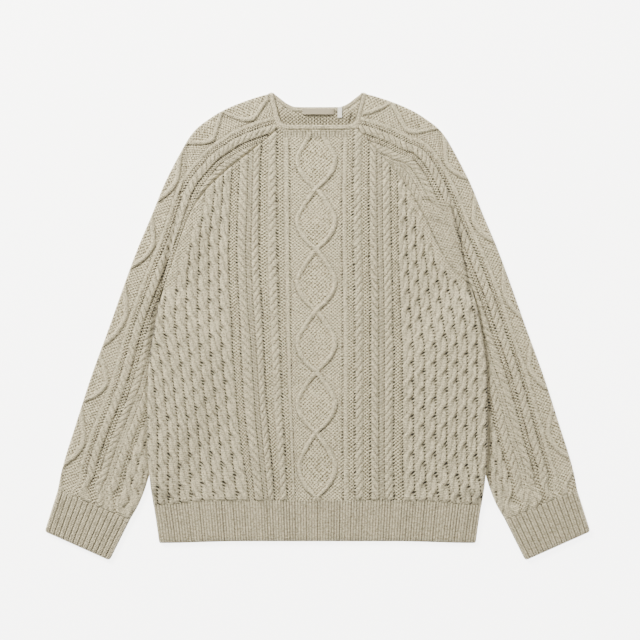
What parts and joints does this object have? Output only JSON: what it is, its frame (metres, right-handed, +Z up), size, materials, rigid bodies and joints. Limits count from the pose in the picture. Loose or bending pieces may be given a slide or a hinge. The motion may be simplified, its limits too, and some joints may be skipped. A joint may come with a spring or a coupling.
{
  "type": "cable knit sweater",
  "caption": "Long-sleeved cable knit sweater lying flat, with raglan sleeves, a diamond cable front and ribbed hem and cuffs.",
  "frame": {"origin": "centre of the flat garment's outline on the surface it lies on", "axes": "+X across the garment toward the cuff at the right of the picture, +Y from the hem to the neck, +Z up from the surface through the front"},
  "size_m": [0.8516, 0.7296, 0.0146],
  "materials": {
    "knit_front": "soft matt knitted wool blend, raised cables, oatmeal",
    "knit_back": "soft matt knitted wool blend, oatmeal",
    "knit_sleeve": "soft matt knitted wool blend, raised cables, oatmeal",
    "rib": "soft matt ribbed knit, oatmeal",
    "woven_label": "smooth woven tape, beige, blank",
    "white_tab": "smooth satin tape, white, blank"
  },
  "bodies": {
    "root": {"front_panel": "knit_front", "back_panel": "knit_back", "sleeve_right": "knit_sleeve", "sleeve_left": "knit_sleeve", "hem_rib_front": "rib", "hem_rib_back": "rib", "cuff_right": "rib", "cuff_left": "rib", "neckband": "rib", "neck_label": "woven_label", "size_tab": "white_tab"}
  },
  "joints": []
}
